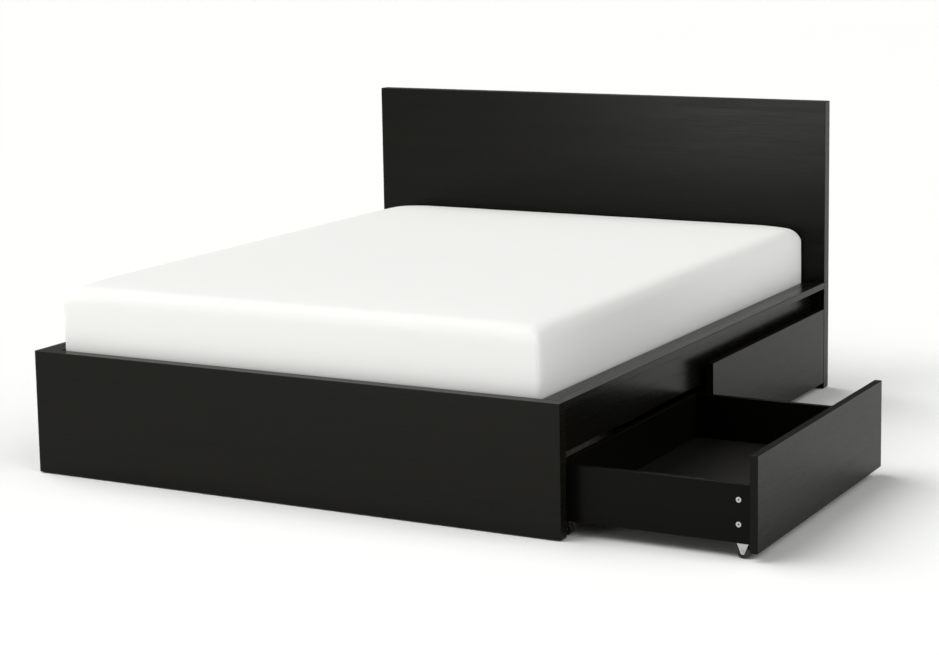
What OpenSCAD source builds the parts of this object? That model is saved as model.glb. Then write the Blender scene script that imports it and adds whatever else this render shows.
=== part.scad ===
// Platform bed with two roll-out storage drawers under its right-hand side.
// The origin is on the floor under the middle of the bed: X runs across the bed towards the drawers,
// Y runs from the footboard to the headboard and Z is up. All sizes are in millimetres.

/* [Bed] */
// Overall width across the two side ledges
bed_width = 1760; // [1300:10:2000]
// Overall length, footboard front face to headboard back face
bed_length = 2090; // [1800:10:2600]
// Height of the headboard above the floor
headboard_height = 1000; // [700:10:1300]
// Height of the footboard and of the side ledges above the floor
footboard_height = 376; // [360:1:460]
// Thickness of the headboard boards
headboard_thickness = 43; // [30:1:60]
// Thickness of the footboard
footboard_thickness = 37; // [30:1:60]
// Height of the glides under the boards
glide_height = 3; // [2:0.5:6]
// Diameter of a glide
glide_diameter = 24; // [16:1:30]
// Distance from a board's end to the middle of its glide
glide_inset = 40; // [30:5:200]
// Chamfer along the edges of every board
edge_ease = 1; // [0.5:0.1:2]

/* [Side rails] */
// Width of the ledge that caps each side rail
ledge_width = 70; // [55:1:120]
// Thickness of the ledge
ledge_thickness = 22; // [18:1:30]
// Thickness of the upright rail under the ledge's inner edge
rail_thickness = 22; // [18:1:30]
// Height of the upright rail
rail_height = 144; // [110:1:150]

/* [Slatted base] */
// Distance from the top of the side ledges down to the slats' top face, which carries the mattress
slat_drop = 51; // [38:1:70]
// Thickness of a slat
slat_thickness = 14; // [10:1:20]
// Width of a slat
slat_width = 65; // [40:1:90]
// Number of slats on each half of the bed
slat_count = 16; // [10:1:20]
// Gap between the slat ends at the middle of the bed
slat_end_gap = 6; // [2:1:20]
// Gap between a slat's outer end and the side rail
slat_rail_gap = 4; // [2:1:10]
// Width of the webbing that links the slats
webbing_width = 30; // [15:1:50]
// Thickness of the webbing
webbing_thickness = 1; // [0.8:0.1:2]
// Width of the steel midbeam
beam_width = 40; // [30:1:60]
// Height of the midbeam
beam_height = 50; // [30:1:70]
// Wall of the midbeam's tube
beam_wall = 1.5; // [1:0.1:3]
// Width of the shelf of the steel angle that carries the slats
angle_shelf = 30; // [20:1:45]
// Height of the angle's upright flange
angle_drop = 40; // [25:1:60]
// Thickness of the steel sheet in the angles, brackets and plates
sheet_thickness = 2; // [1.5:0.1:3]
// Distance from the end of a side rail to the end of its angle
angle_end_gap = 60; // [50:5:150]
// Number of screws in each angle
angle_screw_count = 7; // [3:1:12]

/* [Centre leg] */
// Diameter of the leg's tube
leg_diameter = 30; // [20:1:45]
// Wall of the leg's tube
leg_wall = 1.5; // [1:0.1:3]
// Diameter of the adjustable foot
foot_diameter = 45; // [35:1:60]
// Height of the foot's plastic base
foot_height = 12; // [8:1:20]
// Length of the foot's screw that shows under the leg
foot_reach = 14; // [5:1:40]
// Diameter of the foot's screw
foot_screw_diameter = 10; // [8:1:14]

/* [Mattress] */
// Thickness of the mattress
mattress_thickness = 240; // [120:5:300]
// Gap between the mattress and the side rails
mattress_side_gap = 7; // [3:1:30]
// Gap between the mattress and the headboard or footboard
mattress_end_gap = 5; // [3:1:30]
// Radius of the mattress's upright corners
mattress_corner = 60; // [20:5:120]

/* [Drawers] */
// Gap between the top of a drawer front and the ledge above it, where fingers reach in
finger_gap = 71; // [25:1:90]
// Thickness of a drawer front
front_thickness = 22; // [16:1:26]
// Gap between the floor and a drawer front
front_floor_gap = 23; // [15:1:35]
// Gap between a drawer front and the board at the end of the bed
front_end_gap = 3; // [2:0.5:10]
// Gap between the two drawer fronts
front_middle_gap = 24; // [4:1:60]
// Depth of a drawer, front face to back face
drawer_depth = 590; // [400:10:700]
// Distance by which a drawer side stands in from the end of its front
side_inset = 22; // [5:1:60]
// Thickness of the drawer's sides and back
side_thickness = 16; // [14:1:20]
// Gap between the top of the drawer's sides and the side rail that they pass under
box_top_gap = 12; // [4:1:30]
// Thickness of the drawer's bottom boards
bottom_thickness = 3; // [3:0.5:6]
// Height of the bottom boards above the lower edge of the sides
bottom_rise = 20; // [16:1:30]
// Depth of the grooves that hold the bottom boards
groove_depth = 6; // [4:0.5:8]
// Width of the strip under the joint of the two bottom boards
strip_width = 45; // [30:1:80]
// Thickness of that strip
strip_thickness = 16; // [12:1:18]
// Distance by which the drawer at the foot end stands open
open_distance = 545; // [0:5:560]

/* [Castors] */
// Diameter of a castor wheel
wheel_diameter = 36; // [28:0.5:44]
// Gap between a wheel and the bracket's top plate
wheel_top_gap = 2.5; // [2.2:0.1:6]
// Width of a castor wheel
wheel_width = 14; // [10:0.5:16]
// Distance from a wheel's axle to the end of the drawer side above it
castor_inset = 28; // [20:1:60]
// Diameter of a castor's axle
axle_diameter = 5; // [4:0.5:8]
// Thickness of a castor bracket's sheet
bracket_sheet = 1.5; // [1:0.1:2]
// Length of a castor bracket's top plate
bracket_length = 32; // [28:1:50]

/* [Fasteners] */
// Diameter of the wooden dowels
dowel_diameter = 8; // [6:1:10]
// Length of the wooden dowels
dowel_length = 30; // [24:1:40]
// Diameter of a cam lock
cam_diameter = 15; // [12:0.5:18]
// Depth of a cam lock
cam_depth = 12.5; // [11:0.5:13.5]
// Distance from a cam lock's middle to the end of its board
cam_distance = 40; // [24:1:60]
// Height of the lower cam lock above the board's lower edge
cam_low = 50; // [40:1:60]
// Distance from the upper cam lock down from the board's upper edge
cam_from_top = 42; // [15:1:50]
// Diameter of the threaded studs at the ends of the side rails
stud_diameter = 8; // [6:1:10]
// Diameter of the barrel nuts on the studs
barrel_diameter = 14; // [12:1:18]
// Diameter of a wood screw
screw_diameter = 4; // [3:0.5:5]
// Length of a wood screw under its head
screw_length = 16; // [12:1:20]
// Diameter of a wood screw's head
screw_head = 7; // [6:0.5:9]

/* [Hidden] */
$fn = 48;

// Clearances: round a fastener, round an axle, beside a wheel and round a bottom board in its groove
hole_clearance = 0.1;
axle_clearance = 0.05;
wheel_side_clearance = 0.5;
board_clearance = 0.2;
cut_extra = 1;

// Planes of the frame
half_width = bed_width / 2;
foot_face = -bed_length / 2;
head_face = bed_length / 2;
foot_inner = foot_face + footboard_thickness;
head_inner = head_face - headboard_thickness;
inner_length = head_inner - foot_inner;
inner_middle = (head_inner + foot_inner) / 2;
ledge_bottom = footboard_height - ledge_thickness;
rail_bottom = ledge_bottom - rail_height;
rail_inner = half_width - ledge_width;
rail_middle = rail_inner + rail_thickness / 2;
slat_top = footboard_height - slat_drop;
slat_bottom = slat_top - slat_thickness;
slat_length = rail_inner - slat_rail_gap - slat_end_gap / 2;
slat_step = (inner_length - slat_width) / slat_count;
slat_start = foot_inner + slat_step / 2;

// Joining plates behind the headboard
plate_width = 60;
plate_height = 120;
plate_recess = 4.5;
plate_end_inset = 264;
plate_positions = [plate_end_inset - half_width, 0, half_width - plate_end_inset];
plate_screw_x = 18;
plate_screw_z = 45;

// Wood screws
screw_head_height = 2;
screw_washer_face = 0.05;

// Rail studs and barrel nuts
stud_in_panel = 22;
stud_in_rail = 52;
stud_edge = 36;
barrel_from_end = 40;
barrel_web = 3;
barrel_below_face = 0.5;

// Glide pins
glide_pin_diameter = 5;
glide_pin_length = 16;

// Dowels
dowel_in_ledge = 12;
ledge_dowel_count = 6;
ledge_dowel_end = 160;
ledge_end_dowel_inset = 24.5;
seam_dowel_insets = [132, 572];
seam_dowel_y = head_inner + (headboard_thickness - plate_recess) / 2;

// Midbeam and its brackets
beam_bottom = slat_bottom - beam_height;
saddle_gap = 0.5;
saddle_depth = 34;
saddle_wing = 26;
saddle_rise = 40;
saddle_screw_z = 11;
saddle_inner = beam_width + 2 * saddle_gap;
saddle_outer = saddle_inner + 2 * sheet_thickness;
saddle_low = beam_bottom - sheet_thickness;
beam_end_gap = 1;

// Angle screws, in the middle of the flange below the shelf
angle_screw_end = 80;
angle_screw_z = slat_bottom - (angle_drop + sheet_thickness) / 2;

// Centre leg
cradle_length = 70;
cradle_rise = 22;
leg_bottom = foot_height + foot_reach;
foot_screw_in_leg = 30;
leg_plug_height = 12;

// Drawers: two equal fronts share the length between footboard and headboard
front_width = (inner_length - 2 * front_end_gap - front_middle_gap) / 2;
drawer_starts = [foot_inner + front_end_gap, head_inner - front_end_gap - front_width];
drawer_offsets = [open_distance, 0];
front_height = ledge_bottom - finger_gap - front_floor_gap;
front_back = half_width - front_thickness;
side_floor_gap = wheel_diameter + wheel_top_gap + bracket_sheet;
side_height = rail_bottom - box_top_gap - side_floor_gap;
box_back = half_width - drawer_depth;
box_length = front_back - box_back;
bottom_z = side_floor_gap + bottom_rise;
cam_heights = [side_floor_gap + cam_low, side_floor_gap + side_height - cam_from_top];
middle_dowel_z = (cam_heights[0] + cam_heights[1]) / 2;
bottom_joint_gap = 1;

// Cam bolts
cam_bolt_diameter = 7;
cam_bolt_neck = 5;
cam_bolt_head = 5;
cam_bolt_in_board = 11;
cam_cross_length = 7;
cam_cross_width = 1.6;
cam_cross_depth = 3;
dowel_in_front = 11;

// Castors
wheel_radius = wheel_diameter / 2;
bracket_gap = wheel_width + 2 * wheel_side_clearance;
bracket_width = bracket_gap + 2 * bracket_sheet;
cheek_tip = 7;
castor_screw_x = 11.5;
axle_head = 8;
axle_head_height = 1.5;
hub_radius = 7;
rim_depth = 4.5;
web_recess = 1.5;
tread_round = 1.2;

// Colours
black_brown = "#262320";
dark_fibreboard = "#3b3733";
light_wood = "#d8bf98";
bare_steel = "#b4b7ba";
zinc = "#c9cbcd";
black_plastic = "#3a3a3a";
wheel_black = "#1e1e1e";
webbing_cream = "#e6e2d8";

// ---- Shared shapes ----

module rod_x(length, diameter) {
    rotate([0, 90, 0]) cylinder(h = length, d = diameter);
}

module rod_y(length, diameter) {
    rotate([-90, 0, 0]) cylinder(h = length, d = diameter);
}

module eased_outline(across, up, ease) {
    polygon([
        [ease, 0], [across - ease, 0], [across, ease], [across, up - ease],
        [across - ease, up], [ease, up], [0, up - ease], [0, ease],
    ]);
}

// A board with a small chamfer on all twelve edges, its low corner at the origin
module board(size) {
    intersection() {
        linear_extrude(size.z) eased_outline(size.x, size.y, edge_ease);
        translate([0, size.y, 0]) rotate([90, 0, 0])
            linear_extrude(size.y) eased_outline(size.x, size.z, edge_ease);
        rotate([90, 0, 90]) linear_extrude(size.x) eased_outline(size.y, size.z, edge_ease);
    }
}

// A round rod with chamfered ends, for dowels
module dowel() {
    ease = 1;
    cylinder(h = ease, d1 = dowel_diameter - 2 * ease, d2 = dowel_diameter);
    translate([0, 0, ease]) cylinder(h = dowel_length - 2 * ease, d = dowel_diameter);
    translate([0, 0, dowel_length - ease])
        cylinder(h = ease, d1 = dowel_diameter, d2 = dowel_diameter - 2 * ease);
}

module dowel_hole() {
    translate([0, 0, -hole_clearance])
        cylinder(h = dowel_length + 2 * hole_clearance, d = dowel_diameter + 2 * hole_clearance);
}

// A pan-head wood screw whose head rests on Z = 0 and whose shank points down
module screw() {
    slot_width = 1;
    slot_length = 4.5;
    slot_depth = 1.2;
    difference() {
        union() {
            translate([0, 0, screw_washer_face]) cylinder(h = screw_head_height, d = screw_head);
            translate([0, 0, -screw_length])
                cylinder(h = screw_length + screw_washer_face, d = screw_diameter);
        }
        for (turn = [0, 90])
            rotate([0, 0, turn])
                translate([-slot_length / 2, -slot_width / 2, screw_head_height - slot_depth])
                    cube([slot_length, slot_width, slot_depth + cut_extra]);
    }
}

module screw_hole(above) {
    translate([0, 0, -screw_length - hole_clearance])
        cylinder(h = screw_length + hole_clearance + above, d = screw_diameter + 2 * hole_clearance);
}

// Turns a shape drawn along +Z to point along +X or -X, and +Y or -Y
module towards_x(way) {
    rotate([0, 90 * way, 0]) children();
}

module towards_y(way) {
    rotate([-90 * way, 0, 0]) children();
}

// ---- Places of the frame's fasteners ----

module at_seam_dowels() {
    for (side = [-1, 1], inset = seam_dowel_insets)
        translate([side * (half_width - inset), seam_dowel_y, footboard_height - dowel_length / 2])
            children();
}

module at_ledge_dowels() {
    step = (inner_length - 2 * ledge_dowel_end) / (ledge_dowel_count - 1);
    for (i = [0:ledge_dowel_count - 1])
        translate([rail_middle, foot_inner + ledge_dowel_end + i * step,
                   ledge_bottom + dowel_in_ledge - dowel_length])
            children();
}

module at_ledge_end_dowels() {
    for (y = [foot_inner, head_inner])
        translate([half_width - ledge_end_dowel_inset, y - dowel_length / 2,
                   ledge_bottom + ledge_thickness / 2])
            towards_y(1) children();
}

module at_plate_screws() {
    for (x = plate_positions, across = [-1, 1], up = [-1, 1])
        translate([x + across * plate_screw_x, head_face - plate_recess + sheet_thickness,
                   footboard_height + up * plate_screw_z])
            towards_y(1) children();
}

module at_angle_screws() {
    span = inner_length - 2 * (angle_end_gap + angle_screw_end);
    for (i = [0:angle_screw_count - 1])
        translate([rail_inner - sheet_thickness,
                   inner_middle - span / 2 + i * span / (angle_screw_count - 1),
                   angle_screw_z])
            towards_x(-1) children();
}

module at_bracket_screws() {
    wing = (saddle_outer + saddle_wing) / 2;
    for (across = [-1, 1], up = [-1, 1])
        for (way = [1, -1])
            translate([across * wing, way > 0 ? foot_inner + sheet_thickness : head_inner - sheet_thickness,
                       beam_bottom + saddle_rise / 2 + up * saddle_screw_z])
                towards_y(way) children();
}

module at_studs() {
    for (z = [rail_bottom + stud_edge, ledge_bottom - stud_edge], way = [1, -1])
        translate([rail_middle, way > 0 ? foot_inner : head_inner, z])
            towards_y(way) children();
}

module at_glides() {
    for (across = [-1, 1])
        for (y = [foot_face + footboard_thickness / 2, head_face - headboard_thickness / 2])
            translate([across * (half_width - glide_inset), y, 0]) children();
}

module stud_hole() {
    translate([0, 0, -stud_in_panel - hole_clearance])
        cylinder(h = stud_in_panel + stud_in_rail + 2 * hole_clearance,
                 d = stud_diameter + 2 * hole_clearance);
}

module both_sides() {
    children();
    mirror([1, 0, 0]) children();
}

// ---- Head and foot of the bed ----

module headboard_cuts() {
    at_seam_dowels() dowel_hole();
    at_plate_screws() screw_hole(cut_extra);
    for (x = plate_positions)
        translate([x - plate_width / 2 - board_clearance, head_face - plate_recess,
                   footboard_height - plate_height / 2 - board_clearance])
            cube([plate_width + 2 * board_clearance, plate_recess + cut_extra,
                  plate_height + 2 * board_clearance]);
}

module headboard_upper_panel() {
    color(black_brown)
    difference() {
        translate([-half_width, head_inner, footboard_height])
            board([bed_width, headboard_thickness, headboard_height - footboard_height]);
        headboard_cuts();
    }
}

module headboard_lower_panel() {
    color(black_brown)
    difference() {
        translate([-half_width, head_inner, glide_height])
            board([bed_width, headboard_thickness, footboard_height - glide_height]);
        headboard_cuts();
        both_sides() {
            at_studs() stud_hole();
            at_ledge_end_dowels() dowel_hole();
        }
        at_bracket_screws() screw_hole(0);
        at_glides() glide_pin_hole();
    }
}

module headboard_joining_plates() {
    color(zinc)
    difference() {
        for (x = plate_positions)
            translate([x - plate_width / 2, head_face - plate_recess, footboard_height - plate_height / 2])
                cube([plate_width, sheet_thickness, plate_height]);
        at_plate_screws() screw_hole(cut_extra);
    }
}

module footboard_panel() {
    color(black_brown)
    difference() {
        translate([-half_width, foot_face, glide_height])
            board([bed_width, footboard_thickness, footboard_height - glide_height]);
        both_sides() {
            at_studs() stud_hole();
            at_ledge_end_dowels() dowel_hole();
        }
        at_bracket_screws() screw_hole(0);
        at_glides() glide_pin_hole();
    }
}

module glide_pin_hole() {
    translate([0, 0, glide_height - cut_extra])
        cylinder(h = glide_pin_length + cut_extra + hole_clearance,
                 d = glide_pin_diameter + 2 * hole_clearance);
}

module floor_glides() {
    ease = 1;
    color(black_plastic)
    at_glides() {
        cylinder(h = ease, d1 = glide_diameter - 2 * ease, d2 = glide_diameter);
        translate([0, 0, ease]) cylinder(h = glide_height - ease, d = glide_diameter);
        translate([0, 0, glide_height]) cylinder(h = glide_pin_length, d = glide_pin_diameter);
    }
}

// ---- Side rails ----

module ledge_right() {
    color(black_brown)
    difference() {
        translate([rail_inner, foot_inner, ledge_bottom])
            board([ledge_width, inner_length, ledge_thickness]);
        at_ledge_dowels() dowel_hole();
        at_ledge_end_dowels() dowel_hole();
    }
}

module ledge_left() {
    mirror([1, 0, 0]) ledge_right();
}

module barrel_hole() {
    translate([rail_inner - cut_extra, 0, 0])
        rod_x(rail_thickness - barrel_web + cut_extra + hole_clearance, barrel_diameter + 2 * hole_clearance);
}

module at_barrels() {
    for (z = [rail_bottom + stud_edge, ledge_bottom - stud_edge])
        for (y = [foot_inner + barrel_from_end, head_inner - barrel_from_end])
            translate([0, y, z]) children();
}

module side_rail_right() {
    color(black_brown)
    difference() {
        translate([rail_inner, foot_inner, rail_bottom])
            board([rail_thickness, inner_length, rail_height]);
        at_ledge_dowels() dowel_hole();
        at_studs() stud_hole();
        at_angle_screws() screw_hole(cut_extra);
        at_barrels() barrel_hole();
    }
}

module side_rail_left() {
    mirror([1, 0, 0]) side_rail_right();
}

module rail_studs() {
    color(zinc)
    both_sides() at_studs()
        translate([0, 0, -stud_in_panel]) cylinder(h = stud_in_panel + stud_in_rail, d = stud_diameter);
}

module rail_barrel_nuts() {
    color(zinc)
    both_sides() difference() {
        at_barrels()
            translate([rail_inner + barrel_below_face, 0, 0])
                rod_x(rail_thickness - barrel_web - barrel_below_face, barrel_diameter);
        at_studs() stud_hole();
    }
}

module board_dowels() {
    color(light_wood) {
        at_seam_dowels() dowel();
        both_sides() {
            at_ledge_dowels() dowel();
            at_ledge_end_dowels() dowel();
        }
    }
}

module frame_screws() {
    color(zinc) {
        at_plate_screws() screw();
        at_bracket_screws() screw();
        both_sides() at_angle_screws() screw();
    }
}

// ---- Slatted base ----

module slat_angles() {
    length = inner_length - 2 * angle_end_gap;
    color(bare_steel)
    both_sides() difference() {
        translate([rail_inner, inner_middle - length / 2, slat_bottom]) {
            translate([-angle_shelf, 0, -sheet_thickness]) cube([angle_shelf, length, sheet_thickness]);
            translate([-sheet_thickness, 0, -angle_drop]) cube([sheet_thickness, length, angle_drop]);
        }
        at_angle_screws() screw_hole(cut_extra);
    }
}

module midbeam() {
    length = inner_length - 2 * (sheet_thickness + beam_end_gap);
    color(bare_steel)
    translate([-beam_width / 2, inner_middle - length / 2, beam_bottom])
        difference() {
            cube([beam_width, length, beam_height]);
            translate([beam_wall, -cut_extra, beam_wall])
                cube([beam_width - 2 * beam_wall, length + 2 * cut_extra, beam_height - 2 * beam_wall]);
        }
}

// A saddle that holds one end of the midbeam, with a wing on each side screwed to the board behind it
module midbeam_bracket() {
    height = saddle_rise + sheet_thickness;
    translate([-saddle_outer / 2 - saddle_wing, 0, saddle_low])
        cube([saddle_outer + 2 * saddle_wing, sheet_thickness, height]);
    translate([-saddle_outer / 2, 0, saddle_low]) cube([saddle_outer, saddle_depth, sheet_thickness]);
    for (x = [-saddle_outer / 2, saddle_inner / 2])
        translate([x, 0, saddle_low]) cube([sheet_thickness, saddle_depth, height]);
}

module midbeam_brackets() {
    color(zinc)
    difference() {
        union() {
            translate([0, foot_inner, 0]) midbeam_bracket();
            translate([0, head_inner, 0]) mirror([0, 1, 0]) midbeam_bracket();
        }
        at_bracket_screws() screw_hole(cut_extra);
    }
}

module slats_right() {
    color(light_wood)
    for (i = [0:slat_count - 1])
        translate([slat_end_gap / 2, slat_start + i * slat_step, slat_bottom])
            rotate([90, 0, 90]) linear_extrude(slat_length)
                eased_outline(slat_width, slat_thickness, edge_ease);
}

module slats_left() {
    mirror([1, 0, 0]) slats_right();
}

// Two tapes under each half, a quarter of a slat's length from either end of the slats
module slat_webbing() {
    length = slat_width + (slat_count - 1) * slat_step;
    color(webbing_cream)
    both_sides()
        for (quarter = [1, 3])
            translate([slat_end_gap / 2 + quarter * slat_length / 4 - webbing_width / 2, slat_start,
                       slat_bottom - webbing_thickness])
                cube([webbing_width, length, webbing_thickness]);
}

module centre_leg() {
    leg_length = saddle_low - leg_bottom;
    color(bare_steel)
    difference() {
        union() {
            translate([-saddle_outer / 2, -cradle_length / 2, saddle_low])
                cube([saddle_outer, cradle_length, sheet_thickness]);
            for (x = [-saddle_outer / 2, saddle_inner / 2])
                translate([x, -cradle_length / 2, saddle_low])
                    cube([sheet_thickness, cradle_length, cradle_rise]);
            translate([0, 0, leg_bottom]) difference() {
                cylinder(h = leg_length, d = leg_diameter);
                translate([0, 0, leg_plug_height])
                    cylinder(h = leg_length - leg_plug_height, d = leg_diameter - 2 * leg_wall);
            }
        }
        translate([0, 0, leg_bottom - cut_extra])
            cylinder(h = leg_plug_height + 2 * cut_extra, d = foot_screw_diameter + 2 * hole_clearance);
    }
}

module centre_foot() {
    ease = 2;
    color(black_plastic) {
        cylinder(h = foot_height - ease, d = foot_diameter);
        translate([0, 0, foot_height - ease])
            cylinder(h = ease, d1 = foot_diameter, d2 = foot_diameter - 2 * ease);
        cylinder(h = leg_bottom + foot_screw_in_leg, d = foot_screw_diameter);
    }
}

// ---- Mattress ----

module mattress() {
    width = 2 * (rail_inner - mattress_side_gap);
    length = inner_length - 2 * mattress_end_gap;
    color("white")
    translate([-width / 2, inner_middle - length / 2, slat_top]) {
        translate([mattress_corner, 0, 0])
            cube([width - 2 * mattress_corner, length, mattress_thickness]);
        translate([0, mattress_corner, 0])
            cube([width, length - 2 * mattress_corner, mattress_thickness]);
        for (x = [mattress_corner, width - mattress_corner])
            for (y = [mattress_corner, length - mattress_corner])
                translate([x, y, 0]) cylinder(h = mattress_thickness, r = mattress_corner);
    }
}

// ---- Drawers: index 0 is the foot-end drawer, 1 the head-end drawer ----

// Middle planes of the drawer's two sides, low and high end of the bed
function side_middle(index, end) = drawer_starts[index]
    + (end == 0 ? side_inset + side_thickness / 2 : front_width - side_inset - side_thickness / 2);

function side_inner_face(index, end) = side_middle(index, end)
    + (end == 0 ? side_thickness / 2 : -side_thickness / 2);

module placed_drawer(index) {
    translate([drawer_offsets[index], 0, 0]) children();
}

// Corner fasteners: a cam bolt runs from the cam lock into the board it pulls up against
module cam_bolt() {
    cylinder(h = cam_bolt_head, d = cam_bolt_diameter);
    translate([0, 0, cam_bolt_head]) cylinder(h = cam_distance - cam_bolt_head, d = cam_bolt_neck);
    translate([0, 0, cam_distance]) cylinder(h = cam_bolt_in_board, d = cam_bolt_diameter);
}

module cam_bolt_hole() {
    translate([0, 0, -cam_bolt_head - hole_clearance])
        cylinder(h = cam_distance + cam_bolt_head + cam_bolt_in_board + 2 * hole_clearance,
                 d = cam_bolt_diameter + 2 * hole_clearance);
}

module at_front_cams(index) {
    for (end = [0, 1], z = cam_heights)
        translate([front_back - cam_distance, side_middle(index, end), z]) children();
}

module at_front_bolts(index) {
    at_front_cams(index) towards_x(1) children();
}

module at_back_bolts(index) {
    for (end = [0, 1], z = cam_heights)
        translate([box_back + side_thickness / 2,
                   side_inner_face(index, end) + (end == 0 ? cam_distance : -cam_distance), z])
            towards_y(end == 0 ? -1 : 1) children();
}

module at_drawer_dowels(index) {
    for (end = [0, 1]) {
        translate([front_back + dowel_in_front - dowel_length, side_middle(index, end), middle_dowel_z])
            towards_x(1) children();
        translate([box_back + side_thickness / 2,
                   side_inner_face(index, end)
                       + (end == 0 ? dowel_length - dowel_in_front : dowel_in_front - dowel_length),
                   middle_dowel_z])
            towards_y(end == 0 ? -1 : 1) children();
    }
    translate([front_back + dowel_in_front - dowel_length, strip_middle(index), strip_dowel_z])
        towards_x(1) children();
    translate([box_back + side_thickness - dowel_in_front, strip_middle(index), strip_dowel_z])
        towards_x(1) children();
}

function strip_middle(index) = drawer_starts[index] + front_width / 2;
strip_dowel_z = bottom_z - strip_thickness / 2;

// The cam sits in the outer face of a drawer side, or in the rear face of the drawer's back
module side_cam_cylinder(end, diameter, depth, extra) {
    face = end == 0 ? -side_thickness / 2 : side_thickness / 2;
    way = end == 0 ? 1 : -1;
    translate([0, face - way * extra, 0]) towards_y(way) cylinder(h = depth + extra, d = diameter);
}

module back_cam_cylinder(diameter, depth, extra) {
    translate([-side_thickness / 2 - extra, 0, 0]) rod_x(depth + extra, diameter);
}

module at_side_cams(index, end) {
    for (z = cam_heights)
        translate([front_back - cam_distance, side_middle(index, end), z]) children();
}

module at_back_cams(index) {
    for (end = [0, 1], z = cam_heights)
        translate([box_back + side_thickness / 2,
                   side_inner_face(index, end) + (end == 0 ? cam_distance : -cam_distance), z])
            children();
}

module drawer_front(index) {
    color(black_brown)
    placed_drawer(index) difference() {
        translate([front_back, drawer_starts[index], front_floor_gap])
            board([front_thickness, front_width, front_height]);
        at_front_bolts(index) cam_bolt_hole();
        at_drawer_dowels(index) dowel_hole();
        bottom_groove(index);
    }
}

// The groove round the inside of the box that holds the bottom boards
module bottom_groove(index) {
    low = side_inner_face(index, 0) - groove_depth;
    high = side_inner_face(index, 1) + groove_depth;
    translate([box_back + side_thickness - groove_depth, low, bottom_z - board_clearance])
        cube([box_length - side_thickness + 2 * groove_depth, high - low,
              bottom_thickness + 2 * board_clearance]);
}

module drawer_side(index, end) {
    color(black_brown)
    placed_drawer(index) difference() {
        translate([box_back, side_middle(index, end) - side_thickness / 2, side_floor_gap])
            board([box_length, side_thickness, side_height]);
        at_front_bolts(index) cam_bolt_hole();
        at_back_bolts(index) cam_bolt_hole();
        at_drawer_dowels(index) dowel_hole();
        at_side_cams(index, end)
            side_cam_cylinder(end, cam_diameter + 2 * hole_clearance, cam_depth + hole_clearance, cut_extra);
        at_castor_screws(index) screw_hole(0);
        bottom_groove(index);
    }
}

module drawer_back(index) {
    low = side_inner_face(index, 0);
    high = side_inner_face(index, 1);
    color(black_brown)
    placed_drawer(index) difference() {
        translate([box_back, low, side_floor_gap]) board([side_thickness, high - low, side_height]);
        at_back_bolts(index) cam_bolt_hole();
        at_drawer_dowels(index) dowel_hole();
        at_back_cams(index)
            back_cam_cylinder(cam_diameter + 2 * hole_clearance, cam_depth + hole_clearance, cut_extra);
        bottom_groove(index);
    }
}

module drawer_bottom_boards(index) {
    tongue = groove_depth - 1;
    low = side_inner_face(index, 0) - tongue;
    high = side_inner_face(index, 1) + tongue;
    half = (high - low - bottom_joint_gap) / 2;
    color(dark_fibreboard)
    placed_drawer(index)
        for (y = [low, high - half])
            translate([box_back + side_thickness - tongue, y, bottom_z])
                cube([box_length - side_thickness + 2 * tongue, half, bottom_thickness]);
}

module drawer_bottom_strip(index) {
    color(light_wood)
    placed_drawer(index) difference() {
        translate([box_back + side_thickness, strip_middle(index) - strip_width / 2,
                   bottom_z - strip_thickness])
            board([box_length - side_thickness, strip_width, strip_thickness]);
        at_drawer_dowels(index) dowel_hole();
    }
}

module cam_cross() {
    for (turn = [0, 90])
        rotate([0, 0, turn])
            translate([-cam_cross_length / 2, -cam_cross_width / 2, -cut_extra])
                cube([cam_cross_length, cam_cross_width, cam_cross_depth + cut_extra]);
}

module drawer_cam_locks(index) {
    color(zinc)
    placed_drawer(index) difference() {
        union() {
            for (end = [0, 1]) at_side_cams(index, end) side_cam_cylinder(end, cam_diameter, cam_depth, 0);
            at_back_cams(index) back_cam_cylinder(cam_diameter, cam_depth, 0);
        }
        at_front_bolts(index) cam_bolt_hole();
        at_back_bolts(index) cam_bolt_hole();
        for (end = [0, 1])
            at_side_cams(index, end)
                translate([0, end == 0 ? -side_thickness / 2 : side_thickness / 2, 0])
                    towards_y(end == 0 ? 1 : -1) cam_cross();
        at_back_cams(index) translate([-side_thickness / 2, 0, 0]) towards_x(1) cam_cross();
    }
}

module drawer_cam_bolts(index) {
    color(bare_steel)
    placed_drawer(index) {
        at_front_bolts(index) cam_bolt();
        at_back_bolts(index) cam_bolt();
    }
}

module drawer_dowels(index) {
    color(light_wood)
    placed_drawer(index) at_drawer_dowels(index) dowel();
}

// ---- Castors: 1 and 2 are under the foot-side board, 3 and 4 under the head-side board ----

function castor_x(number) = number % 2 == 0 ? front_back - castor_inset : box_back + castor_inset;

function castor_y(index, number) = side_middle(index, number < 2 ? 0 : 1);

module at_castors(index) {
    for (number = [0:3])
        translate([castor_x(number), castor_y(index, number), 0]) children();
}

module at_castor_screws(index) {
    at_castors(index)
        for (x = [-castor_screw_x, castor_screw_x])
            translate([x, 0, side_floor_gap - bracket_sheet]) rotate([180, 0, 0]) children();
}

module castor_cheek() {
    drop = side_floor_gap - wheel_radius;
    rotate([90, 0, 0]) linear_extrude(bracket_sheet) {
        polygon([
            [-bracket_length / 2, drop], [bracket_length / 2, drop],
            [cheek_tip, 0], [-cheek_tip, 0],
        ]);
        circle(r = cheek_tip);
    }
}

module castor_bracket() {
    difference() {
        union() {
            translate([-bracket_length / 2, -bracket_width / 2, side_floor_gap - bracket_sheet])
                cube([bracket_length, bracket_width, bracket_sheet]);
            for (y = [bracket_width / 2, -bracket_gap / 2]) translate([0, y, wheel_radius]) castor_cheek();
        }
        translate([0, -bracket_width, wheel_radius])
            rod_y(2 * bracket_width, axle_diameter + 2 * axle_clearance);
    }
}

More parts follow.
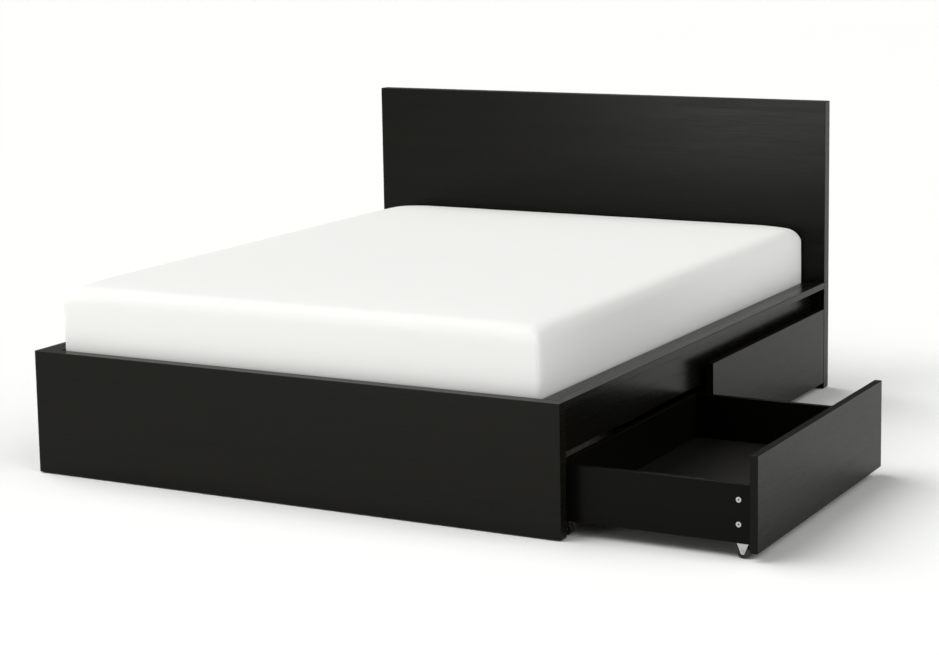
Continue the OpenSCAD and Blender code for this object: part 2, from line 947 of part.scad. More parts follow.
module drawer_castor_brackets(index) {
    color(zinc)
    placed_drawer(index) difference() {
        at_castors(index) castor_bracket();
        at_castor_screws(index) screw_hole(cut_extra);
    }
}

module drawer_castor_axles(index) {
    head_gap = 0.05;
    color(bare_steel)
    placed_drawer(index) at_castors(index)
        translate([0, -bracket_width / 2 - head_gap, wheel_radius]) {
            rod_y(bracket_width + 2 * head_gap, axle_diameter);
            translate([0, -axle_head_height, 0]) rod_y(axle_head_height, axle_head);
            translate([0, bracket_width + 2 * head_gap, 0]) rod_y(axle_head_height, axle_head);
        }
}

module drawer_castor_screws(index) {
    color(zinc)
    placed_drawer(index) at_castor_screws(index) screw();
}

module castor_wheel() {
    bore = axle_diameter / 2 + axle_clearance;
    half = wheel_width / 2;
    rim = wheel_radius - rim_depth;
    rotate([90, 0, 0]) rotate_extrude()
        polygon([
            [bore, -half], [hub_radius, -half], [hub_radius, web_recess - half],
            [rim, web_recess - half], [rim, -half], [wheel_radius - tread_round, -half],
            [wheel_radius, tread_round - half], [wheel_radius, half - tread_round],
            [wheel_radius - tread_round, half], [rim, half], [rim, half - web_recess],
            [hub_radius, half - web_recess], [hub_radius, half], [bore, half],
        ]);
}

module drawer_wheel(index, number) {
    color(wheel_black)
    placed_drawer(index)
        translate([castor_x(number), castor_y(index, number), wheel_radius]) castor_wheel();
}

headboard_upper_panel();
headboard_lower_panel();
headboard_joining_plates();
footboard_panel();
ledge_left();
ledge_right();
side_rail_left();
side_rail_right();
slat_angles();
midbeam();
midbeam_brackets();
centre_leg();
centre_foot();
slats_left();
slats_right();
slat_webbing();
rail_studs();
rail_barrel_nuts();
board_dowels();
frame_screws();
floor_glides();
mattress();
drawer_front(0);  // foot_drawer_front
drawer_side(0, 0);  // foot_drawer_side_foot
drawer_side(0, 1);  // foot_drawer_side_head
drawer_back(0);  // foot_drawer_back
drawer_bottom_boards(0);  // foot_drawer_bottom_boards
drawer_bottom_strip(0);  // foot_drawer_bottom_strip
drawer_cam_locks(0);  // foot_drawer_cam_locks
drawer_cam_bolts(0);  // foot_drawer_cam_bolts
drawer_dowels(0);  // foot_drawer_dowels
drawer_castor_screws(0);  // foot_drawer_castor_screws
drawer_castor_brackets(0);  // foot_drawer_castor_brackets
drawer_castor_axles(0);  // foot_drawer_castor_axles
drawer_wheel(0, 0);  // foot_drawer_wheel_1
drawer_wheel(0, 1);  // foot_drawer_wheel_2
drawer_wheel(0, 2);  // foot_drawer_wheel_3
drawer_wheel(0, 3);  // foot_drawer_wheel_4
drawer_front(1);  // head_drawer_front
drawer_side(1, 0);  // head_drawer_side_foot
drawer_side(1, 1);  // head_drawer_side_head
drawer_back(1);  // head_drawer_back
drawer_bottom_boards(1);  // head_drawer_bottom_boards
drawer_bottom_strip(1);  // head_drawer_bottom_strip
drawer_cam_locks(1);  // head_drawer_cam_locks
drawer_cam_bolts(1);  // head_drawer_cam_bolts
drawer_dowels(1);  // head_drawer_dowels
drawer_castor_screws(1);  // head_drawer_castor_screws
drawer_castor_brackets(1);  // head_drawer_castor_brackets
drawer_castor_axles(1);  // head_drawer_castor_axles
drawer_wheel(1, 0);  // head_drawer_wheel_1
drawer_wheel(1, 1);  // head_drawer_wheel_2
drawer_wheel(1, 2);  // head_drawer_wheel_3
drawer_wheel(1, 3);  // head_drawer_wheel_4
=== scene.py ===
# %% [markdown]
# # A platform bed with storage drawers
# A low bed in black-brown stained veneer: a tall plain headboard, a low footboard, ledges along the
# sides, a mattress in a white fitted sheet, and drawers that roll out on castors.
# The frame comes ready made, with every board, bolt and wheel in its place. This lesson adds what the
# frame lacks: the soft mattress and its sheet, the finish of every surface, the light and the camera.

# %% Load the frame
import math

import bpy
from mathutils import Euler, Matrix, Vector, noise


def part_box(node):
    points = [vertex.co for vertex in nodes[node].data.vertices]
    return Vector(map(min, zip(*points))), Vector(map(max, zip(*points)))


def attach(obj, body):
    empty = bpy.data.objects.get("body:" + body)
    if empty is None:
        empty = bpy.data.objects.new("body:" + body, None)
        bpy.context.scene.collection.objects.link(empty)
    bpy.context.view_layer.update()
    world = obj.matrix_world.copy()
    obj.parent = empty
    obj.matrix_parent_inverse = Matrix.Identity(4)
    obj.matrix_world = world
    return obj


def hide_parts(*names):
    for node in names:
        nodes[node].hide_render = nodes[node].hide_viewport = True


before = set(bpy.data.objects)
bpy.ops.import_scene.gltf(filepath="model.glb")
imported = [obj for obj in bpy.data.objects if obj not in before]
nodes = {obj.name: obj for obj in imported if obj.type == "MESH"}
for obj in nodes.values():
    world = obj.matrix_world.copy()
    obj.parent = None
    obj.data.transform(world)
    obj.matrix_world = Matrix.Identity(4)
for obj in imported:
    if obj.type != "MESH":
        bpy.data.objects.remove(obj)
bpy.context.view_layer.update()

# %% [markdown]
# ## Small tools
# Real colours are picked as sRGB hex values, as in any paint programme, but Blender's shaders count in
# linear light. One function turns one into the other. A second one adds a shader node, sets its inputs
# and links it, so that each material below reads as a list of steps.

# %% Colour and node helpers


def linear(hex_colour):
    """An sRGB hex colour as a linear RGBA value."""
    channels = [int(hex_colour[i:i + 2], 16) / 255 for i in (1, 3, 5)]
    curve = [c / 12.92 if c <= 0.04045 else ((c + 0.055) / 1.055) ** 2.4 for c in channels]
    return (*curve, 1.0)


def add_node(tree, kind, settings=None, inputs=None, links=None):
    """Adds one node: settings are its properties, inputs its values, links its incoming sockets."""
    made = tree.nodes.new(kind)
    for name, value in (settings or {}).items():
        setattr(made, name, value)
    for name, value in (inputs or {}).items():
        made.inputs[name].default_value = value
    for name, source in (links or {}).items():
        tree.links.new(source, made.inputs[name])
    return made


def new_material(name):
    """An empty material with its shader; returns the material, its node tree and the shader."""
    material = bpy.data.materials.new(name)
    material.use_nodes = True
    tree = material.node_tree
    shader = tree.nodes["Principled BSDF"]
    return material, tree, shader


def deselect_all():
    """Operators act on all that is selected, so each step starts from nothing."""
    if bpy.context.mode != "OBJECT":
        bpy.ops.object.mode_set(mode="OBJECT")
    bpy.ops.object.select_all(action="DESELECT")


def make_active(piece):
    deselect_all()
    piece.select_set(True)
    bpy.context.view_layer.objects.active = piece


def apply_modifier(piece, kind, name, **settings):
    """Adds a modifier with its settings and makes its result the piece's own mesh."""
    make_active(piece)
    modifier = piece.modifiers.new(name, kind)
    for key, value in settings.items():
        setattr(modifier, key, value)
    bpy.ops.object.modifier_apply(modifier=name)


# %% [markdown]
# ## Camera
# The bed is seen from its right foot corner, a little above a standing person's eyes, with a long lens
# so that the far end hardly shrinks. The place and the turn are measured from the middle of the bed on
# the floor, where the frame has its origin.

# %% Camera
camera_place = Vector((3.4654, -6.2032, 1.6989))
camera_pan = math.radians(27.68)
camera_tilt = math.radians(8.534)
camera_roll = math.radians(-0.806)

camera_data = bpy.data.cameras.new("bed_camera")
camera_data.sensor_width = 36.0
camera_data.lens = 85.67
camera_data.shift_x = -0.05
camera_data.shift_y = -0.10
camera_data.clip_end = 300
camera = bpy.data.objects.new("bed_camera", camera_data)
bpy.context.scene.collection.objects.link(camera)
aim = Euler((math.pi / 2 - camera_tilt, 0, camera_pan)).to_matrix() @ Matrix.Rotation(camera_roll, 3, "Z")
camera.matrix_world = Matrix.Translation(camera_place) @ aim.to_4x4()
bpy.context.scene.camera = camera
print("camera height:", round(camera_place.z, 2), "m, lens:", camera_data.lens, "mm")

# %% [markdown]
# ## Floor and light
# A pale seamless floor runs far past the bed, so that its edge never shows. The light is that of a white
# studio with large windows on both sides: two very soft suns, the stronger one from the upper left, and
# a weak white sky. One softbox in front, out of sight, puts a soft sheen on the headboard. All of them
# have a trace of warm tint, as daylight through white cloth has.

# %% Floor
floor_size = 120
deselect_all()
bpy.ops.mesh.primitive_plane_add(size=floor_size, location=(0, 0, 0))
floor = bpy.context.active_object
floor.name = "studio_floor"
floor_paint, floor_tree, floor_shader = new_material("pale_studio_floor")
floor_shader.inputs["Base Color"].default_value = linear("#ffffff")
floor_shader.inputs["Roughness"].default_value = 0.9
floor_shader.inputs["Specular IOR Level"].default_value = 0.1
floor.data.materials.append(floor_paint)

# %% Light
scene = bpy.context.scene
scene.view_settings.view_transform = "Standard"
world = bpy.data.worlds.new("white_studio")
world.use_nodes = True
sky = world.node_tree.nodes["Background"]
light_tint = (1.0, 1.0, 0.98)
window_softness = math.radians(60)
sky.inputs["Color"].default_value = (*light_tint, 1)
sky.inputs["Strength"].default_value = 0.2
scene.world = world


def window(name, towards, strength):
    """A wide, far and very soft light; towards is the direction in which it lies."""
    data = bpy.data.lights.new(name, "SUN")
    data.energy = strength
    data.color = light_tint
    data.angle = window_softness
    lamp = bpy.data.objects.new(name, data)
    lamp.rotation_euler = Vector(towards).to_track_quat("Z", "Y").to_euler()
    scene.collection.objects.link(lamp)


window("window_left", (-0.7, -0.15, 1.0), 2.4)
window("window_right", (1.0, -0.1, 0.7), 1.1)


def softbox(name, place, target, width, height, watts):
    """A rectangular area light that shines from place towards target and isn't seen itself."""
    data = bpy.data.lights.new(name, "AREA")
    data.shape = "RECTANGLE"
    data.size = width
    data.size_y = height
    data.energy = watts
    data.color = light_tint
    lamp = bpy.data.objects.new(name, data)
    lamp.location = place
    lamp.rotation_euler = (Vector(place) - Vector(target)).to_track_quat("Z", "Y").to_euler()
    lamp.visible_camera = False
    scene.collection.objects.link(lamp)


softbox("card_front", (-2.3, -7.1, 0.8), (0.7, 1.0, 0.9), 2.0, 1.6, 85)
print("lights:", len(bpy.data.lights))

# %% [markdown]
# ## Black-brown veneer
# The boards are ash veneer on fibreboard, stained black-brown and given a thin satin lacquer. The eye
# sees an almost black surface, a faint long grain where the stain sat deeper in the pores, and a soft
# sheen that grows towards a low angle. The grain is a noise stretched along the board, 1.6 mm wide and
# 120 mm long, on a broader figure 35 mm wide. Pores are really 0.2 mm wide; they are drawn at 1.6 mm so
# that they show. The drawer fronts have a quieter figure, and a duller plastic band on their upper edge.
# The drawer boxes are wrapped in a printed foil, which is flatter and blacker than the veneer.

# %% Veneer material


def grain_coordinates(tree, across, along, direction):
    """Object coordinates scaled so that a noise comes out `across` wide and `along` long, in metres."""
    place = add_node(tree, "ShaderNodeTexCoord")
    scale = [1 / across] * 3
    scale["xyz".index(direction)] = 1 / along
    return add_node(tree, "ShaderNodeMapping", inputs={"Scale": scale},
                    links={"Vector": place.outputs["Object"]})


def veneer(name, direction, dark, light, roughness, specular, figure=1.0, band_roughness=None):
    """Veneer with its grain along x or y; band_roughness is for a band on its upper edges."""
    material, tree, shader = new_material(name)
    fine = grain_coordinates(tree, 0.0016, 0.12, direction)
    broad = grain_coordinates(tree, 0.035, 0.9, direction)
    fine_noise = add_node(tree, "ShaderNodeTexNoise",
                          inputs={"Scale": 1.0, "Detail": 4.0, "Roughness": 0.6},
                          links={"Vector": fine.outputs["Vector"]})
    broad_noise = add_node(tree, "ShaderNodeTexNoise",
                          inputs={"Scale": 1.0, "Detail": 3.0, "Distortion": 0.6},
                          links={"Vector": broad.outputs["Vector"]})
    blend = add_node(tree, "ShaderNodeMix", {"data_type": "FLOAT"}, {"Factor": 0.35},
                     {"A": fine_noise.outputs["Fac"], "B": broad_noise.outputs["Fac"]})
    ramp = add_node(tree, "ShaderNodeValToRGB", links={"Fac": blend.outputs["Result"]})
    ramp.color_ramp.elements[0].position = 0.36
    ramp.color_ramp.elements[0].color = linear(dark)
    ramp.color_ramp.elements[1].position = 0.66
    ramp.color_ramp.elements[1].color = linear(light)
    tree.links.new(ramp.outputs["Color"], shader.inputs["Base Color"])
    sheen = add_node(tree, "ShaderNodeMapRange",
                     inputs={"From Min": 0.3, "From Max": 0.7,
                             "To Min": roughness + 0.08 * figure, "To Max": roughness - 0.05 * figure},
                     links={"Value": blend.outputs["Result"]})
    finish = sheen.outputs["Result"]
    if band_roughness is not None:
        face = add_node(tree, "ShaderNodeNewGeometry")
        turned = add_node(tree, "ShaderNodeSeparateXYZ", links={"Vector": face.outputs["True Normal"]})
        on_band = add_node(tree, "ShaderNodeMath", {"operation": "GREATER_THAN"}, {1: 0.9},
                           {0: turned.outputs["Z"]})
        banded = add_node(tree, "ShaderNodeMix", {"data_type": "FLOAT"}, {"B": band_roughness},
                          {"Factor": on_band.outputs["Value"], "A": finish})
        finish = banded.outputs["Result"]
    tree.links.new(finish, shader.inputs["Roughness"])
    bump = add_node(tree, "ShaderNodeBump", inputs={"Strength": 0.16 * figure, "Distance": 0.0004},
                    links={"Height": fine_noise.outputs["Fac"]})
    tree.links.new(bump.outputs["Normal"], shader.inputs["Normal"])
    shader.inputs["IOR"].default_value = 1.5
    shader.inputs["Specular IOR Level"].default_value = specular
    return material


veneer_across = veneer("stained_veneer_grain_across", "x", "#0d0d09", "#16150f", 0.24, 0.11)
veneer_along = veneer("stained_veneer_grain_along", "y", "#0d0d09", "#16150f", 0.24, 0.11)
veneer_front = veneer("stained_veneer_drawer_front", "y", "#0d0d09", "#16150f", 0.26, 0.085, 0.4, 0.45)
foil_across = veneer("printed_foil_grain_across", "x", "#090907", "#0d0d0a", 0.34, 0.06, 0.4)
foil_along = veneer("printed_foil_grain_along", "y", "#090907", "#0d0d0a", 0.34, 0.06, 0.4)
print("veneers:", veneer_across.name, veneer_along.name)

# %% [markdown]
# ## Pale wood
# The slats are planed pine and the dowels turned beech. Both are left raw: pale yellow-brown, matt, with
# early and late wood as soft stripes about 4 mm apart.

# %% Pale wood material


def raw_wood(name, direction, pale, dark):
    """Planed softwood with growth rings as soft stripes along x or y."""
    material, tree, shader = new_material(name)
    rings = grain_coordinates(tree, 0.011, 0.5, direction)
    fibres = grain_coordinates(tree, 0.0009, 0.03, direction)
    ring_noise = add_node(tree, "ShaderNodeTexNoise",
                          inputs={"Scale": 1.0, "Detail": 2.0, "Distortion": 0.8},
                          links={"Vector": rings.outputs["Vector"]})
    fibre_noise = add_node(tree, "ShaderNodeTexNoise", inputs={"Scale": 1.0, "Detail": 3.0},
                           links={"Vector": fibres.outputs["Vector"]})
    blend = add_node(tree, "ShaderNodeMix", {"data_type": "FLOAT"}, {"Factor": 0.3},
                     {"A": ring_noise.outputs["Fac"], "B": fibre_noise.outputs["Fac"]})
    ramp = add_node(tree, "ShaderNodeValToRGB", links={"Fac": blend.outputs["Result"]})
    ramp.color_ramp.elements[0].position = 0.35
    ramp.color_ramp.elements[0].color = linear(dark)
    ramp.color_ramp.elements[1].position = 0.62
    ramp.color_ramp.elements[1].color = linear(pale)
    tree.links.new(ramp.outputs["Color"], shader.inputs["Base Color"])
    bump = add_node(tree, "ShaderNodeBump", inputs={"Strength": 0.2, "Distance": 0.0005},
                    links={"Height": blend.outputs["Result"]})
    tree.links.new(bump.outputs["Normal"], shader.inputs["Normal"])
    shader.inputs["Roughness"].default_value = 0.62
    shader.inputs["IOR"].default_value = 1.5
    return material


pine_across = raw_wood("planed_pine_across", "x", "#dcc49c", "#b78f5e")
print("raw wood:", pine_across.name)

# %% [markdown]
# ## Metals
# The angles and the midbeam are galvanised sheet: dull grey zinc in crystals a few millimetres across,
# the spangle, each a little lighter or darker than the next. The brackets, screws and cam locks are
# zinc-plated, which is smoother and brighter. Both are metals, so their colour is their reflection. Shade
# is painted into the corners and the crosses for the screwdriver: an occlusion test makes them nearly
# black.

# %% Metal materials
recess_depth = 0.004


def zinc_coat(name, dark, light, roughness, crystal):
    """Zinc on steel with painted shade in its recesses; crystal is the size of one spangle in metres."""
    material, tree, shader = new_material(name)
    place = add_node(tree, "ShaderNodeTexCoord")
    cells = add_node(tree, "ShaderNodeTexVoronoi", inputs={"Scale": 1 / crystal, "Randomness": 1.0},
                     links={"Vector": place.outputs["Object"]})
    grey = add_node(tree, "ShaderNodeRGBToBW", links={"Color": cells.outputs["Color"]})
    ramp = add_node(tree, "ShaderNodeValToRGB", links={"Fac": grey.outputs["Val"]})
    ramp.color_ramp.elements[0].color = linear(dark)
    ramp.color_ramp.elements[1].color = linear(light)
    # Painted shade: an occlusion test within recess_depth darkens corners and recesses towards near black
    # #1c1c1c.
    open_side = add_node(tree, "ShaderNodeAmbientOcclusion", {"samples": 8, "only_local": True},
                         {"Distance": recess_depth})
    shade = add_node(tree, "ShaderNodeMapRange", inputs={"From Min": 0.45, "From Max": 0.85},
                     links={"Value": open_side.outputs["AO"]})
    painted_recess_shade = add_node(tree, "ShaderNodeMix", {"data_type": "RGBA"},
                     links={"Factor": shade.outputs["Result"]})
    painted_recess_shade.inputs[6].default_value = linear("#1c1c1c")
    tree.links.new(ramp.outputs["Color"], painted_recess_shade.inputs[7])
    tree.links.new(painted_recess_shade.outputs[2], shader.inputs["Base Color"])
    rough = add_node(tree, "ShaderNodeMapRange",
                     inputs={"To Min": roughness - 0.05, "To Max": roughness + 0.08},
                     links={"Value": grey.outputs["Val"]})
    tree.links.new(rough.outputs["Result"], shader.inputs["Roughness"])
    shader.inputs["Metallic"].default_value = 1.0
    return material


galvanised = zinc_coat("galvanised_sheet", "#a2a5a7", "#c3c5c6", 0.42, 0.006)
zinc_plate = zinc_coat("bright_zinc_plate", "#a6a8a8", "#bcbdbd", 0.3, 0.0015)
print("metals:", galvanised.name, zinc_plate.name)

# %% [markdown]
# ## Plastics, tape and fibreboard
# Glides and the foot are black polypropylene with a fine moulded grit. The wheels are nylon, a little
# glossier, with mould marks too small to see. The webbing is a plain woven tape, and the drawer bottoms
# are thin fibreboard with a dark printed face and a slight orange-peel texture.

# %% Plastic, tape and board materials


def gritty(name, dark, light, roughness, grit, depth):
    """A dull surface with a fine random texture; grit is its size and depth its height in metres."""
    material, tree, shader = new_material(name)
    place = add_node(tree, "ShaderNodeTexCoord")
    grain = add_node(tree, "ShaderNodeTexNoise", inputs={"Scale": 1 / grit, "Detail": 2.0},
                     links={"Vector": place.outputs["Object"]})
    ramp = add_node(tree, "ShaderNodeValToRGB", links={"Fac": grain.outputs["Fac"]})
    ramp.color_ramp.elements[0].position = 0.35
    ramp.color_ramp.elements[0].color = linear(dark)
    ramp.color_ramp.elements[1].position = 0.65
    ramp.color_ramp.elements[1].color = linear(light)
    tree.links.new(ramp.outputs["Color"], shader.inputs["Base Color"])
    bump = add_node(tree, "ShaderNodeBump", inputs={"Strength": 0.3, "Distance": depth},
                    links={"Height": grain.outputs["Fac"]})
    tree.links.new(bump.outputs["Normal"], shader.inputs["Normal"])
    shader.inputs["Roughness"].default_value = roughness
    shader.inputs["IOR"].default_value = 1.49
    return material


black_plastic = gritty("moulded_polypropylene", "#161616", "#1f1f1f", 0.55, 0.0012, 0.0002)
wheel_nylon = gritty("moulded_nylon_wheel", "#0f0f0f", "#181818", 0.38, 0.002, 0.0001)
fibreboard = gritty("printed_fibreboard", "#0d0c0a", "#13110f", 0.5, 0.003, 0.0003)


def woven(name, dark, light, slub, roughness, sheen):
    """Plain weave: faint thick threads, slub wide, that run along x, y and z and cross on every side."""
    material, tree, shader = new_material(name)
    place = add_node(tree, "ShaderNodeTexCoord")
    thread_noises = []
    for direction in "xyz":
        threads = grain_coordinates(tree, slub, slub * 16, direction)
        thread_noises.append(add_node(tree, "ShaderNodeTexNoise", inputs={"Scale": 1.0, "Detail": 3.0},
                                      links={"Vector": threads.outputs["Vector"]}))
    first_two = add_node(tree, "ShaderNodeMath", {"operation": "ADD"},
                         links={0: thread_noises[0].outputs["Fac"], 1: thread_noises[1].outputs["Fac"]})
    cloth = add_node(tree, "ShaderNodeMath", {"operation": "ADD"},
                     links={0: first_two.outputs["Value"], 1: thread_noises[2].outputs["Fac"]})
    drift = add_node(tree, "ShaderNodeTexNoise", inputs={"Scale": 2.5, "Detail": 2.0},
                     links={"Vector": place.outputs["Object"]})
    shade = add_node(tree, "ShaderNodeMath", {"operation": "MULTIPLY_ADD"}, {1: 0.4},
                     {0: cloth.outputs["Value"], 2: drift.outputs["Fac"]})
    ramp = add_node(tree, "ShaderNodeValToRGB", links={"Fac": shade.outputs["Value"]})
    ramp.color_ramp.elements[0].color = linear(dark)
    ramp.color_ramp.elements[1].color = linear(light)
    tree.links.new(ramp.outputs["Color"], shader.inputs["Base Color"])
    bump = add_node(tree, "ShaderNodeBump", inputs={"Strength": 0.15, "Distance": 0.0004},
                    links={"Height": cloth.outputs["Value"]})
    tree.links.new(bump.outputs["Normal"], shader.inputs["Normal"])
    shader.inputs["Roughness"].default_value = roughness
    shader.inputs["Sheen Weight"].default_value = sheen
    shader.inputs["Sheen Roughness"].default_value = 0.5
    shader.inputs["Specular IOR Level"].default_value = 0.2
    return material


webbing = woven("polyester_webbing", "#cfcabb", "#e8e4d8", 0.0025, 0.8, 0.1)
cotton = woven("white_cotton_percale", "#ececeb", "#f3f3f2", 0.003, 0.88, 0.12)
ticking = woven("mattress_ticking", "#dcdad2", "#eceae4", 0.004, 0.85, 0.1)
print("soft finishes:", webbing.name, cotton.name, ticking.name)

# %% [markdown]
# ## A finish for every part of the frame
# Each node of the frame gets its finish by name. Boards that run across the bed have their grain across
# it, and boards that run along it have theirs along it, as a joiner would cut them.

# %% Finish the frame
finish_of = {
    "headboard_upper_panel": veneer_across, "headboard_lower_panel": veneer_across,
    "footboard_panel": veneer_across,
    "ledge_left": veneer_along, "ledge_right": veneer_along,
    "side_rail_left": veneer_along, "side_rail_right": veneer_along,
    "slats_left": pine_across, "slats_right": pine_across, "board_dowels": pine_across,
    "slat_angles": galvanised, "midbeam": galvanised, "centre_leg": galvanised,
    "headboard_joining_plates": zinc_plate, "midbeam_brackets": zinc_plate,
    "rail_studs": zinc_plate, "rail_barrel_nuts": zinc_plate, "frame_screws": zinc_plate,
    "centre_foot": black_plastic, "floor_glides": black_plastic,
    "slat_webbing": webbing, "mattress": ticking,
}
drawer_finish_of = {
    "front": veneer_front, "side_foot": foil_across, "side_head": foil_across, "back": foil_along,
    "bottom_boards": fibreboard, "bottom_strip": pine_across, "dowels": pine_across,
    "cam_locks": zinc_plate, "cam_bolts": zinc_plate, "castor_screws": zinc_plate,
    "castor_brackets": zinc_plate, "castor_axles": zinc_plate,
}
for end in ("foot", "head"):
    for part, finish in drawer_finish_of.items():
        finish_of[f"{end}_drawer_{part}"] = finish
    for number in range(1, 5):
        finish_of[f"{end}_drawer_wheel_{number}"] = wheel_nylon

for name, node in nodes.items():
    node.data.materials.clear()
    node.data.materials.append(finish_of[name])
print("finished nodes:", len(finish_of))

# %% [markdown]
# ## Mattress
# The mattress is a block of springs and foam in a sewn cover. It is not a box: its edges are soft, and
# the filling pushes the cover out a little between them. That last part is what a cloth simulation gives
# for free. A cube is stretched to the mattress's box, all its edges are bevelled round, and each long
# edge is cut into even lengths, so that the cover becomes a net of squares that can swell. A tight
# sheet also pulls the upper edges round and the corners down, and that is shaped afterwards.

# %% Mattress block
mattress_low, mattress_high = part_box("mattress")
edge_radius = 0.018
square = 0.045


def edges_where(piece, test):
    """Selects the edges whose two ends pass the test, and nothing else, in edit mode."""
    bpy.ops.object.mode_set(mode="OBJECT")
    for part in (*piece.data.vertices, *piece.data.polygons):
        part.select = False
    for edge in piece.data.edges:
        edge.select = test(*[piece.data.vertices[i].co for i in edge.vertices])
    bpy.ops.object.mode_set(mode="EDIT")
    bpy.ops.mesh.select_mode(type="EDGE")


def soft_block(name, block_low, block_high):
    """A block with round edges whose faces are cut into squares."""
    deselect_all()
    bpy.ops.mesh.primitive_cube_add(size=1, location=(block_low + block_high) / 2)
    block = bpy.context.active_object
    block.name = name
    block.dimensions = block_high - block_low
    bpy.ops.object.transform_apply(location=True, rotation=True, scale=True)
    edges_where(block, lambda a, b: True)
    bpy.ops.mesh.bevel(offset=edge_radius, segments=4, affect="EDGES")
    for axis in range(3):
        length = (block_high - block_low)[axis] - 2 * edge_radius
        edges_where(block, lambda a, b: abs(a[axis] - b[axis]) > 0.9 * length)
        bpy.ops.mesh.subdivide(number_cuts=round(length / square) - 1)
    bpy.ops.object.mode_set(mode="OBJECT")
    return block


core = soft_block("mattress_core", mattress_low, mattress_high)
print("mattress block:", len(core.data.polygons), "faces,",
      sum(len(face.vertices) != 4 for face in core.data.polygons), "of them not square")

# %% Blow the cover up a little
pressure = 1.0
cloth_frames = 16
ease = 2.5
bulge = Vector((0.0015, 0.0015, 0.010))


def blow_up(piece):
    """Runs the cloth from inside, then eases each point's travel off towards the bulge it may have."""
    rest = [vertex.co.copy() for vertex in piece.data.vertices]
    make_active(piece)
    cloth = piece.modifiers.new("filling", "CLOTH")
    cloth.settings.quality = 4
    cloth.settings.mass = 0.3
    cloth.settings.tension_stiffness = 15
    cloth.settings.compression_stiffness = 15
    cloth.settings.shear_stiffness = 5
    cloth.settings.bending_stiffness = 2
    cloth.settings.use_pressure = True
    cloth.settings.uniform_pressure_force = pressure
    cloth.settings.effector_weights.gravity = 0
    cloth.point_cache.frame_start = 1
    cloth.point_cache.frame_end = cloth_frames
    for step in range(1, cloth_frames + 1):
        scene.frame_set(step)
    bpy.ops.object.modifier_apply(modifier="filling")
    scene.frame_set(1)
    travel = [vertex.co - before for vertex, before in zip(piece.data.vertices, rest)]
    furthest = [max(abs(t[i]) for t in travel) for i in range(3)]
    print("free travel:", [round(t, 3) for t in furthest])
    for vertex, before, moved in zip(piece.data.vertices, rest, travel):
        vertex.co = before + Vector([
            limit * math.tanh(ease * m / most) for m, most, limit in zip(moved, furthest, bulge)
        ])


def fit_box(piece, new_low, new_high):
    """Scales a mesh so that its box is exactly the one given."""
    values = [[vertex.co[i] for vertex in piece.data.vertices] for i in range(3)]
    old_low = Vector([min(v) for v in values])
    old_high = Vector([max(v) for v in values])
    for vertex in piece.data.vertices:
        share = [(vertex.co[i] - old_low[i]) / (old_high[i] - old_low[i]) for i in range(3)]
        vertex.co = Vector([new_low[i] + share[i] * (new_high[i] - new_low[i]) for i in range(3)])


# %% Round the top and finish the core
top_radius = 0.044
top_softness = 0.004
corner_drop = 0.009
corner_reach = 0.09
sheet_gap = 0.0015


def round_top(piece):
    """Lowers the mesh towards its upper edges, and a little more at its four corners."""
    corners = [Vector(corner) for corner in piece.bound_box]
    low = Vector([min(c[i] for c in corners) for i in range(3)])
    high = Vector([max(c[i] for c in corners) for i in range(3)])
    for vertex in piece.data.vertices:
        inset = [min(vertex.co[i] - low[i], high[i] - vertex.co[i]) + top_softness for i in (0, 1)]
        steep = [max(0.0, 1 - d / (top_radius + top_softness)) for d in inset]
        fullness = math.sqrt(1 - steep[0] ** 2) * math.sqrt(1 - steep[1] ** 2)
        corner = math.exp(-(inset[0] ** 2 + inset[1] ** 2) / corner_reach ** 2)
        drop = top_radius * (1 - fullness) + corner_drop * corner
        vertex.co.z = low.z + (vertex.co.z - low.z) * (1 - drop / (high.z - low.z))


blow_up(core)
clearance = Vector((sheet_gap, sheet_gap, sheet_gap))
crown = Vector((0, 0, 0.013))
fit_box(core, mattress_low + clearance, mattress_high + crown - clearance)
apply_modifier(core, "SUBSURF", "finer", levels=2, render_levels=2)
round_top(core)
core.data.materials.clear()
core.data.materials.append(ticking)
make_active(core)
bpy.ops.object.shade_smooth()
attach(core, "root")
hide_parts("mattress")
print("mattress core:", len(core.data.polygons), "faces")

# %% [markdown]
# ## Fitted sheet
# A fitted sheet is one rectangle of white percale whose corners are sewn into darts, so that it makes a
# bag for the mattress, with an elastic hem that pulls it underneath. It lies tight on the mattress, so
# its shape is the mattress's own, one thread further out. It is made from a copy of the core: pushed out
# a little, and opened underneath inside the hem.

# %% Fitted sheet
hem_width = 0.17

deselect_all()
sheet = core.copy()
sheet.data = core.data.copy()
sheet.name = "fitted_sheet"
sheet.data.name = "fitted_sheet"
for key in list(sheet.keys()):
    del sheet[key]
scene.collection.objects.link(sheet)
make_active(sheet)
inside = mattress_low + Vector((hem_width, hem_width, 0)), mattress_high - Vector((hem_width, hem_width, 0))
for face in sheet.data.polygons:
    middle = face.center
    within = all(inside[0][i] < middle[i] < inside[1][i] for i in (0, 1))
    face.select = within and face.normal.z < -0.9 and middle.z < mattress_low.z + 0.03
bpy.ops.object.mode_set(mode="EDIT")
bpy.ops.mesh.select_mode(type="FACE")
bpy.ops.mesh.delete(type="FACE")
bpy.ops.mesh.select_all(action="SELECT")
bpy.ops.transform.shrink_fatten(value=sheet_gap)
bpy.ops.object.mode_set(mode="OBJECT")
sheet.data.materials.clear()
sheet.data.materials.append(cotton)

# %% [markdown]
# ## Ripples, darts and hem
# At each corner the cloth is gathered into a dart, and the pull on that seam leaves a few faint upright
# ripples beside it, half a millimetre high. The dart itself is a ridge of four layers of cloth, and the
# hem round the opening holds an elastic. Both are made from the sheet's own edges: those of the corner and
# those of the opening are copied off, turned into a curve, and given a round section.

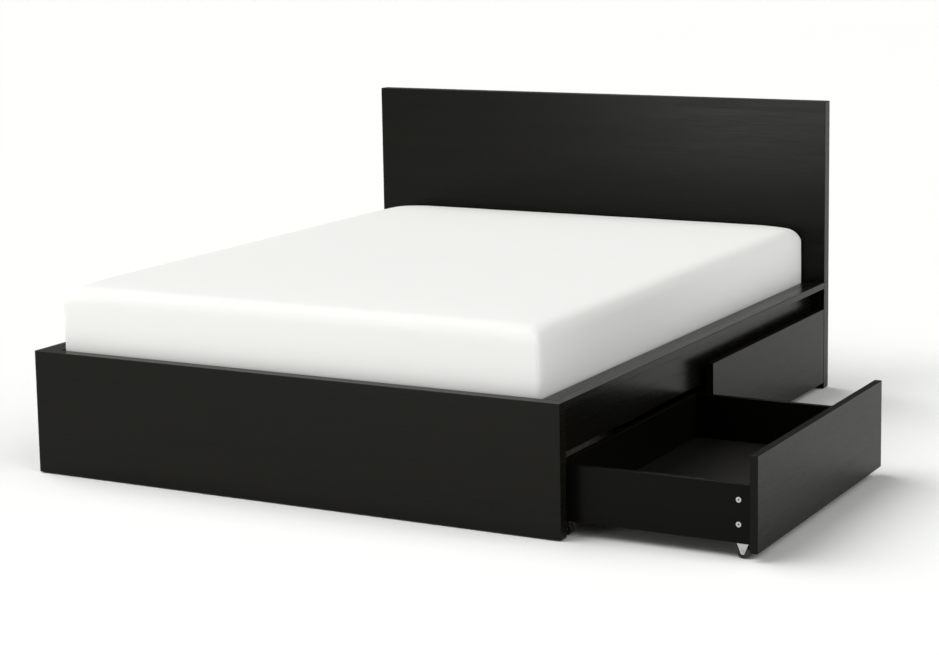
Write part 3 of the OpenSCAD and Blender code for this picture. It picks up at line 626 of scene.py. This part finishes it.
# %% Ripples beside the corners
ripple_height = 0.0006
ripple_length = 0.034
ripple_reach = 0.07
sheet_box = [Vector(corner) for corner in sheet.bound_box]
sheet_low = Vector([min(c[i] for c in sheet_box) for i in range(3)])
sheet_high = Vector([max(c[i] for c in sheet_box) for i in range(3)])
outward = [vertex.normal.copy() for vertex in sheet.data.vertices]
for vertex, normal in zip(sheet.data.vertices, outward):
    inset = [min(vertex.co[i] - sheet_low[i], sheet_high[i] - vertex.co[i]) for i in (0, 1)]
    along = max(inset)
    upright = 1 - abs(normal.z)
    wander = noise.noise(vertex.co * 5)
    wave = math.sin(math.tau * (along / ripple_length + 0.6 * wander)) * math.exp(-along / ripple_reach)
    vertex.co += normal * ripple_height * wave * upright * (1 + wander)
print("ripples:", ripple_height * 1000, "mm high")

# %% Dart seams and elastic hem


def cord_from_edges(piece, name, radius, test=None):
    """Copies off the edges that pass the test, or else the open ones, as a round cord."""
    make_active(piece)
    edges_where(piece, test or (lambda a, b: False))
    if test is None:
        bpy.ops.mesh.select_non_manifold()
    bpy.ops.mesh.duplicate()
    bpy.ops.mesh.separate(type="SELECTED")
    bpy.ops.object.mode_set(mode="OBJECT")
    cord = [made for made in bpy.context.selected_objects if made is not piece][0]
    for key in list(cord.keys()):
        del cord[key]
    cord.name = name
    make_active(cord)
    bpy.ops.object.convert(target="CURVE")
    cord = bpy.context.active_object
    cord.data.bevel_depth = radius
    cord.data.bevel_resolution = 2
    cord.data.use_fill_caps = True
    bpy.ops.object.convert(target="MESH")
    cord = bpy.context.active_object
    cord.data.name = name
    cord.data.materials.clear()
    cord.data.materials.append(cotton)
    bpy.ops.object.shade_smooth()
    return cord


def on_dart(co):
    """True on the line halfway round an upright corner."""
    inset = [min(co[i] - sheet_low[i], sheet_high[i] - co[i]) for i in (0, 1)]
    return max(inset) < edge_radius and abs(inset[0] - inset[1]) < dart_tolerance


dart_tolerance = 0.0007
dart_radius = 0.0012
hem_radius = 0.0016
darts = cord_from_edges(sheet, "sheet_corner_darts", dart_radius, lambda a, b: on_dart(a) and on_dart(b))
hem = cord_from_edges(sheet, "sheet_elastic_hem", hem_radius)
for trim in (darts, hem):
    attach(trim, "root")
    print(trim.name, len(trim.data.polygons), "faces")
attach(sheet, "root")
